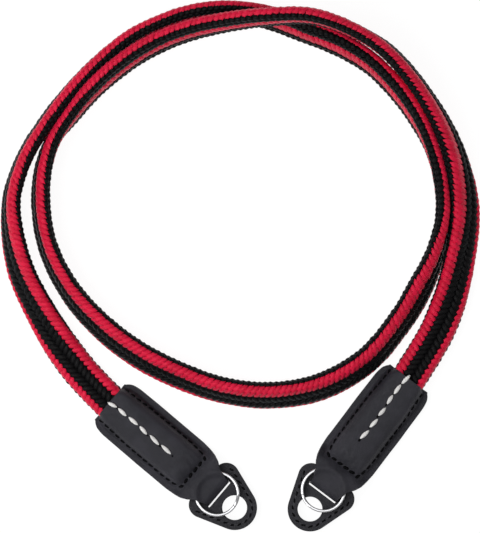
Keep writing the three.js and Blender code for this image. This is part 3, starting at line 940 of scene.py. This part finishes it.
def grain_group():
    """Leather: pebbled grain, pores and faint handling marks, from the object's own place."""
    tree, given, out = new_group(
        "leather_grain",
        [("Base", "NodeSocketColor", (0, 0, 0, 1)), ("Worn", "NodeSocketColor", (0, 0, 0, 1)),
         ("Grain Size", "NodeSocketFloat", 1800.0)],
        [("Color", "NodeSocketColor"), ("Roughness", "NodeSocketFloat"), ("Height", "NodeSocketFloat")],
    )
    link = tree.links.new
    place = add(tree, "ShaderNodeTexCoord")
    warp = add(tree, "ShaderNodeTexNoise")
    warp.inputs["Scale"].default_value = 500.0
    warp.inputs["Detail"].default_value = 2.0
    link(place.outputs["Object"], warp.inputs["Vector"])
    cells = add(tree, "ShaderNodeTexVoronoi", feature="DISTANCE_TO_EDGE")
    link(given.outputs["Grain Size"], cells.inputs["Scale"])
    shifted = add(tree, "ShaderNodeVectorMath", operation="MULTIPLY_ADD")
    link(warp.outputs["Color"], shifted.inputs[0])
    shifted.inputs[1].default_value = (0.0006, 0.0006, 0.0006)
    link(place.outputs["Object"], shifted.inputs[2])
    link(shifted.outputs[0], cells.inputs["Vector"])
    pebble = math_node(tree, "MINIMUM", cells.outputs["Distance"], 0.28)
    marks = add(tree, "ShaderNodeTexNoise")
    marks.inputs["Scale"].default_value = 120.0
    marks.inputs["Detail"].default_value = 5.0
    marks.inputs["Roughness"].default_value = 0.62
    link(place.outputs["Object"], marks.inputs["Vector"])
    height = math_node(tree, "ADD", math_node(tree, "MULTIPLY", pebble, 1.6),
                       math_node(tree, "MULTIPLY", marks.outputs["Fac"], 0.8))
    link(height, out.inputs["Height"])
    worn = math_node(tree, "MULTIPLY", math_node(tree, "SUBTRACT", marks.outputs["Fac"], 0.42), 2.6)
    link(mix_colour(tree, worn, given.outputs["Base"], given.outputs["Worn"]), out.inputs["Color"])
    rough = math_node(tree, "ADD", math_node(tree, "MULTIPLY", marks.outputs["Fac"], 0.22), 0.42)
    link(rough, out.inputs["Roughness"])
    return tree


def finish_material(name, colour=None, rough=0.5, metal=0.0, **sockets):
    """A material with its tree and its Principled shader."""
    made = bpy.data.materials.new(name)
    made.use_nodes = True
    tree = made.node_tree
    shader = tree.nodes["Principled BSDF"]
    if colour:
        shader.inputs["Base Color"].default_value = (*colour, 1)
    shader.inputs["Roughness"].default_value = rough
    shader.inputs["Metallic"].default_value = metal
    for key, value in sockets.items():
        shader.inputs[key.replace("_", " ")].default_value = value
    return made, tree, shader


def use_height(tree, shader, height, distance):
    """Fine relief on a shader, from a height and how far it reaches."""
    bump = add(tree, "ShaderNodeBump")
    bump.inputs["Distance"].default_value = distance * MM
    bump.inputs["Strength"].default_value = 1.0
    tree.links.new(height, bump.inputs["Height"])
    tree.links.new(bump.outputs[0], shader.inputs["Normal"])


def thread_material(name, group, light, dark, rough, fibres, **sockets):
    made, tree, shader = finish_material(name, rough=rough, **sockets)
    silk = add(tree, "ShaderNodeGroup", node_tree=group)
    silk.inputs["Light"].default_value = (*light, 1)
    silk.inputs["Dark"].default_value = (*dark, 1)
    silk.inputs["Fibres"].default_value = fibres
    tree.links.new(silk.outputs["Color"], shader.inputs["Base Color"])
    use_height(tree, shader, silk.outputs["Height"], 0.12)
    return made


def leather_material(name, group, base, worn, size, depth, **sockets):
    made, tree, shader = finish_material(name, **sockets)
    grain = add(tree, "ShaderNodeGroup", node_tree=group)
    grain.inputs["Base"].default_value = (*base, 1)
    grain.inputs["Worn"].default_value = (*worn, 1)
    grain.inputs["Grain Size"].default_value = size
    tree.links.new(grain.outputs["Color"], shader.inputs["Base Color"])
    tree.links.new(grain.outputs["Roughness"], shader.inputs["Roughness"])
    use_height(tree, shader, grain.outputs["Height"], depth)
    return made


def build_materials():
    silk, grain = silk_group(), grain_group()
    made = {
        "red": thread_material(
            "red_silk", silk, (0.84, 0.0095, 0.060), (0.58, 0.0055, 0.034), 0.45, 1.0,
            Specular_IOR_Level=0.2, Sheen_Weight=0.12, Sheen_Roughness=0.4,
            Sheen_Tint=(1.0, 0.35, 0.5, 1)),
        "black": thread_material(
            "black_silk", silk, (0.0056, 0.0050, 0.0056), (0.003, 0.0028, 0.0032), 0.42, 1.0,
            Specular_IOR_Level=0.1, Sheen_Weight=0.02, Sheen_Roughness=0.4,
            Sheen_Tint=(0.7, 0.8, 1.0, 1)),
        "white": thread_material(
            "white_lacing_thread", silk, (0.98, 0.97, 0.95), (0.74, 0.73, 0.72), 0.5, 1.6,
            Specular_IOR_Level=0.4),
        "seam": thread_material(
            "black_seam_thread", silk, (0.0035, 0.0035, 0.004), (0.002, 0.002, 0.0025), 0.6, 1.0,
            Specular_IOR_Level=0.08),
        "tab": leather_material(
            "tab_leather", grain, (0.019, 0.0185, 0.0245), (0.036, 0.0345, 0.045), 2600.0, 0.13,
            Specular_IOR_Level=0.3),
        "guard": leather_material(
            "guard_leather", grain, (0.0135, 0.0133, 0.0172), (0.027, 0.026, 0.034), 2400.0, 0.13,
            Specular_IOR_Level=0.3),
        # Painted highlight: the cut edge is lighter than the face, so the rim shows a light line
        "edge": leather_material(
            "cut_leather_edge_painted_highlight", grain, (0.024, 0.0235, 0.029), (0.036, 0.035, 0.042), 5200.0, 0.05,
            Specular_IOR_Level=0.3),
        # Painted shade: the near-black tube that shows in the crevices between the stitches
        "core": finish_material("cord_crevice_painted_shade", (0.004, 0.004, 0.005), 0.8, Specular_IOR_Level=0.1)[0],
        # Painted shade: the near-black spindles that stand for the shaded needle holes
        "hole": finish_material("needle_hole_painted_shade", (0.002, 0.002, 0.0025), 0.9, Specular_IOR_Level=0.05)[0],
    }
    made["nickel"], tree, shader = finish_material("nickel_plate", (0.6, 0.6, 0.615), 0.13, 1.0)
    scratches = add(tree, "ShaderNodeTexNoise")
    scratches.inputs["Scale"].default_value = 300.0
    scratches.inputs["Detail"].default_value = 4.0
    place = add(tree, "ShaderNodeTexCoord")
    tree.links.new(place.outputs["Object"], scratches.inputs["Vector"])
    tree.links.new(math_node(tree, "ADD", math_node(tree, "MULTIPLY", scratches.outputs["Fac"], 0.12), 0.14),
                   shader.inputs["Roughness"])
    return made


def dress(piece, *materials):
    for material in materials:
        piece.data.materials.append(material)


# Put the strap together

mats = build_materials()
cord = Cord()
cord_start = end_place(ENDS["left"], TAB_LENGTH, 0.0, POCKET_MIDDLE) * MM
# The strands begin 5 mm inside each tab's mouth, and the tube of painted shade goes on to its own ends
first = TAB_LENGTH - POCKET[0] - 5.0
last = cord.length - first

core = cord_crevice_shade_tube(cord)
strands = braid(cord, first, last)
dress(core, mats["core"])
for piece, key in zip(strands, ("red", "black", "black")):
    dress(piece, mats[key])
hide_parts("braided_cord")
for piece in [core] + strands:
    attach(piece, "root")

for side in ENDS:
    tab, plate, wire = leather_tab(side), guard(side), split_ring(side)
    dress(tab, mats["tab"], mats["edge"])
    dress(plate, mats["guard"])
    dress(wire, mats["nickel"])
    for piece, node, slot in (
        (tab, "leather_tab", "tab_leather"), (plate, "leather_guard", "guard_leather"),
        (wire, "split_ring", "ring_steel"),
    ):
        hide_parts(f"{side}_{node}")
    holes, threads = tab_seams(side)
    guard_hole_shade, guard_threads, guard_painted_crease = guard_seam(side)
    lacing, lacing_hole_shade = tab_lacing(side)
    trim = {
        holes: "hole", threads: "seam", guard_hole_shade: "hole", guard_threads: "seam",
        guard_painted_crease: "edge", lacing: "white", lacing_hole_shade: "hole",
    }
    for piece, key in trim.items():
        dress(piece, mats[key])
    for piece in (tab, plate, wire, *trim):
        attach(piece, "root")

# Floor, light and camera

bm = bmesh.new()
bmesh.ops.create_grid(bm, x_segments=1, y_segments=1, size=3.0)
bmesh.ops.translate(bm, verts=bm.verts, vec=(0, 0, -0.01 * MM))
floor = new_object("pale_floor", mesh_of(bm, "pale_floor"))
floor_material, tree, shader = finish_material("pale_floor", (0.12, 0.12, 0.12), 0.9, Specular_IOR_Level=0.0)
shader.inputs["Emission Color"].default_value = (1, 1, 1, 1)
shader.inputs["Emission Strength"].default_value = 0.93
dress(floor, floor_material)

world = bpy.data.worlds.new("soft_studio")
bpy.context.scene.world = world
world.use_nodes = True
tree = world.node_tree
background = tree.nodes["Background"]
place = add(tree, "ShaderNodeTexCoord")
parts = add(tree, "ShaderNodeSeparateXYZ")
tree.links.new(place.outputs["Generated"], parts.inputs[0])
ramp = add(tree, "ShaderNodeValToRGB")
ramp.color_ramp.elements[0].position = 0.0
ramp.color_ramp.elements[0].color = (0.12, 0.12, 0.125, 1)
ramp.color_ramp.elements[1].position = 0.95
ramp.color_ramp.elements[1].color = (1, 1, 1, 1)
tree.links.new(parts.outputs["Z"], ramp.inputs[0])
tree.links.new(ramp.outputs[0], background.inputs["Color"])
background.inputs["Strength"].default_value = 0.47


def soft_light(name, place, target, size, power):
    data = bpy.data.lights.new(name, "AREA")
    data.size = size
    data.energy = power
    lamp = bpy.data.objects.new(name, data)
    lamp.location = place
    lamp.rotation_euler = (Vector(target) - Vector(place)).to_track_quat("-Z", "Y").to_euler()
    bpy.context.scene.collection.objects.link(lamp)


soft_light("key", (-0.38, 0.0, 0.56), (0, 0.07, 0), 0.5, 2.9)
soft_light("overhead", (0, 0.07, 7.0), (0, 0.07, 0), 3.0, 48.0)

# The camera looks straight down from far above. The frame's zero is at pixel 261.25, 448.5 of the
# picture, but for a small shift of the camera
MM_PER_PIXEL = 0.368
PICTURE = (480, 533)
ZERO_PIXEL = (261.25, 448.5)
CAMERA_SHIFT = (0.05, -0.14)
CORD_LEVEL = 6.0
camera_data = bpy.data.cameras.new("camera")
camera_data.lens = 1000.0
camera_data.sensor_width = 36.0
camera = bpy.data.objects.new("camera", camera_data)
distance = PICTURE[1] * MM_PER_PIXEL * MM / camera_data.sensor_width * camera_data.lens
camera.location = (
    ((PICTURE[0] / 2 - ZERO_PIXEL[0]) * MM_PER_PIXEL + CAMERA_SHIFT[0]) * MM,
    ((ZERO_PIXEL[1] - PICTURE[1] / 2) * MM_PER_PIXEL + CAMERA_SHIFT[1]) * MM,
    distance + CORD_LEVEL * MM,
)
camera_data.clip_end = 100.0
bpy.context.scene.collection.objects.link(camera)
bpy.context.scene.camera = camera
bpy.context.scene.view_settings.view_transform = "Standard"
